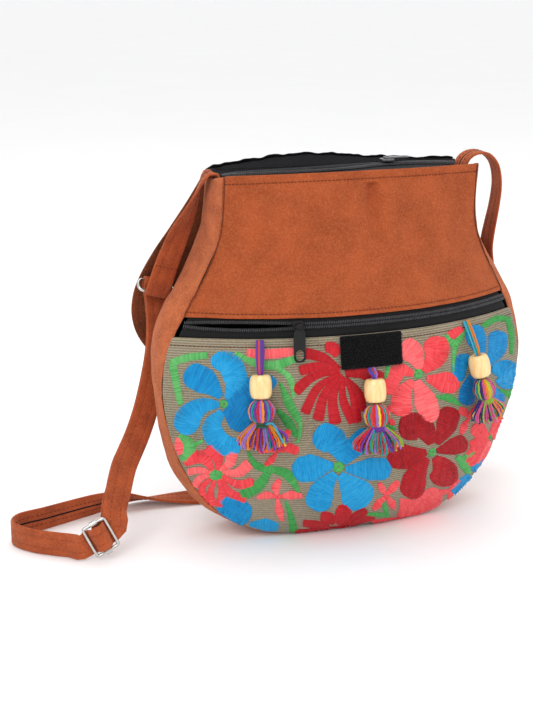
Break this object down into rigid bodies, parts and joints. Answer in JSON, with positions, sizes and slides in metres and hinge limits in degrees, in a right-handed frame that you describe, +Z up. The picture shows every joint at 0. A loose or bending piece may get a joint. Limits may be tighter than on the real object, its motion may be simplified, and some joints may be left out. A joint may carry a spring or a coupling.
{
  "type": "embroidered suede handbag",
  "caption": "Soft round-bottomed suede shoulder bag with a zipped, flower-embroidered front pocket, thrown-back flap, bead tassels and a buckled strap lying beside it.",
  "frame": {"origin": "centre of the flattened base, on the surface that the bag stands on", "axes": "+X to the right of someone facing the embroidered front, -Y out of the front, +Z up"},
  "size_m": [0.4301, 0.1723, 0.2949],
  "materials": {
    "suede": "napped suede, rust brown",
    "ribbed_cloth": "ribbed taupe cotton, densely embroidered with satin-stitch flowers",
    "zip_tape": "black twill tape",
    "zip_coil": "black nylon coil",
    "black_metal": "black enamel, worn at the edges",
    "pile": "black loop pile",
    "black_lining": "crinkled black lining",
    "nickel": "polished nickel-plated wire",
    "pale_wood": "pale varnished wood",
    "yarn": "bright multicoloured yarn"
  },
  "bodies": {
    "bag": {"front_yoke": "suede", "front_pocket": "ribbed_cloth", "back_panel": "suede", "gusset": "suede", "pocket_tape_upper": "zip_tape", "pocket_tape_lower": "zip_tape", "pocket_coil_upper": "zip_coil", "pocket_coil_lower": "zip_coil", "pocket_slider": "black_metal", "loop_patch": "pile", "flap": "suede", "flap_lining": "black_lining", "flap_patch": "pile", "mouth_tape_front": "zip_tape", "mouth_tape_back": "zip_tape", "mouth_coil_front": "zip_coil", "mouth_coil_back": "zip_coil", "mouth_slider": "nickel", "strap_ring": "nickel", "strap_tab": "suede", "strap": "suede", "slide_frame": "nickel", "slide_bar": "nickel", "hanger_left": "yarn", "bead_left": "pale_wood", "tassel_left": "yarn", "hanger_middle": "yarn", "bead_middle": "pale_wood", "tassel_middle": "yarn", "hanger_right": "yarn", "bead_right": "pale_wood", "tassel_right": "yarn"},
    "pull": {"pocket_pull": "black_metal"}
  },
  "joints": [
    {"name": "pull_swing", "type": "hinge", "parent": "bag", "child": "pull", "pos_m": [-0.0584, -0.0538, 0.17819], "axis": [-0.9766, 0.2124, -0.0335], "range_deg": [0, 150]}
  ]
}
